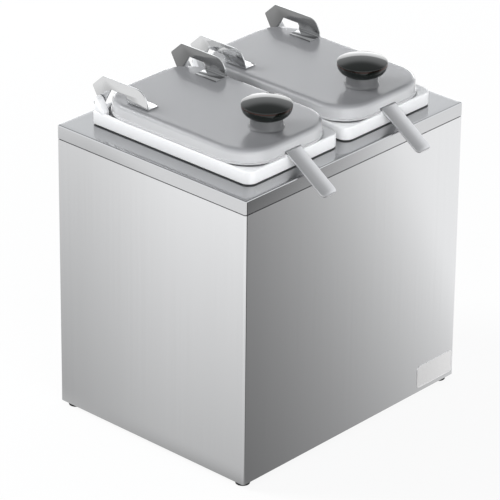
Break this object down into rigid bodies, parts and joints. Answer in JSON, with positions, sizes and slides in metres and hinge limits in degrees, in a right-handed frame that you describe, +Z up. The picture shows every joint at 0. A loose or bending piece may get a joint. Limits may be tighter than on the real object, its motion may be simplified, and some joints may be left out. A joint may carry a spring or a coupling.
{
  "type": "hot fudge topping warmer",
  "caption": "Topping warmer: a brushed steel cabinet with a heated water well, lift-out jars under hinged grey lids with black knobs, and ladles hung over the jars' rims.",
  "frame": {"origin": "middle of the ground outline, on the plane the feet stand on", "axes": "+Z up, -Y to the front where the ladles' ends hang, +X to the right as seen from the front"},
  "size_m": [0.25, 0.2376, 0.2923],
  "materials": {
    "brushed_sheet": "vertical brushed stainless sheet",
    "polished_sheet": "fine brushed, nearly mirror bright on top",
    "well_sheet": "dull drawn stainless",
    "plain_sheet": "plain mill finish",
    "clip_steel": "polished stainless",
    "ladle_steel": "satin",
    "fastener": "plain",
    "jar_white": "white moulded plastic, half gloss",
    "lid_grey": "grey translucent moulding, gloss",
    "knob_black": "black, high gloss",
    "copper_ring": "copper coloured ring",
    "foot_rubber": "black rubber",
    "insulation": "mineral wool board",
    "element_sheath": "heat darkened tube",
    "ceramic": "off-white",
    "control_black": "black, fine grain",
    "brass_parts": "plain",
    "copper_parts": "dull copper",
    "wire_cover": "red insulated lead"
  },
  "bodies": {
    "housing": {"outer_shell": "brushed_sheet", "top_cover": "polished_sheet", "water_well": "well_sheet", "insulation_wall": "insulation", "insulation_base": "insulation", "base_plate": "plain_sheet", "base_screws": "fastener", "cover_screws": "fastener", "rubber_feet": "foot_rubber", "heating_element": "element_sheath", "well_studs": "fastener", "clamp_bars": "plain_sheet", "clamp_nuts": "fastener", "high_limit": "ceramic", "thermostat_body": "plain_sheet", "thermostat_nut": "fastener", "sensing_bulb": "copper_parts", "power_inlet": "control_black", "inlet_blades": "brass_parts", "inlet_screws": "fastener", "terminal_block": "ceramic", "wiring": "wire_cover"},
    "heat_dial": {"thermostat_shaft": "brass_parts", "thermostat_knob": "control_black"},
    "jar_left": {"jar_left": "jar_white"},
    "lid_left": {"lid_left": "lid_grey", "clip_outer_left": "clip_steel", "clip_inner_left": "clip_steel", "hinge_pins_left": "clip_steel", "clip_studs_left": "fastener", "push_nuts_left": "fastener", "lid_knob_left": "knob_black", "knob_ring_left": "copper_ring", "knob_screw_left": "fastener"},
    "ladle_left": {"ladle_handle_left": "ladle_steel", "ladle_bowl_left": "ladle_steel"},
    "jar_right": {"jar_right": "jar_white"},
    "lid_right": {"lid_right": "lid_grey", "clip_outer_right": "clip_steel", "clip_inner_right": "clip_steel", "hinge_pins_right": "clip_steel", "clip_studs_right": "fastener", "push_nuts_right": "fastener", "lid_knob_right": "knob_black", "knob_ring_right": "copper_ring", "knob_screw_right": "fastener"},
    "ladle_right": {"ladle_handle_right": "ladle_steel", "ladle_bowl_right": "ladle_steel"}
  },
  "joints": [
    {"name": "jar_left_lift", "type": "slide", "parent": "housing", "child": "jar_left", "axis": [0, 0, 1], "range_m": [0, 0.17]},
    {"name": "lid_left_hinge", "type": "hinge", "parent": "jar_left", "child": "lid_left", "pos_m": [-0.0545, 0.0803, 0.26455], "axis": [-1, 0, 0], "range_deg": [0, 92]},
    {"name": "ladle_left_tip", "type": "hinge", "parent": "jar_left", "child": "ladle_left", "pos_m": [-0.0565, -0.07955, 0.25665], "axis": [1, 0, 0], "range_deg": [0, 5]},
    {"name": "jar_right_lift", "type": "slide", "parent": "housing", "child": "jar_right", "axis": [0, 0, 1], "range_m": [0, 0.17]},
    {"name": "lid_right_hinge", "type": "hinge", "parent": "jar_right", "child": "lid_right", "pos_m": [0.0545, 0.0803, 0.26455], "axis": [-1, 0, 0], "range_deg": [0, 92]},
    {"name": "ladle_right_tip", "type": "hinge", "parent": "jar_right", "child": "ladle_right", "pos_m": [0.0525, -0.07955, 0.25665], "axis": [1, 0, 0], "range_deg": [0, 5]},
    {"name": "heat_dial_turn", "type": "hinge", "parent": "housing", "child": "heat_dial", "pos_m": [0.062, 0.111, 0.0334], "axis": [0, -1, 0], "range_deg": [0, 270]}
  ]
}
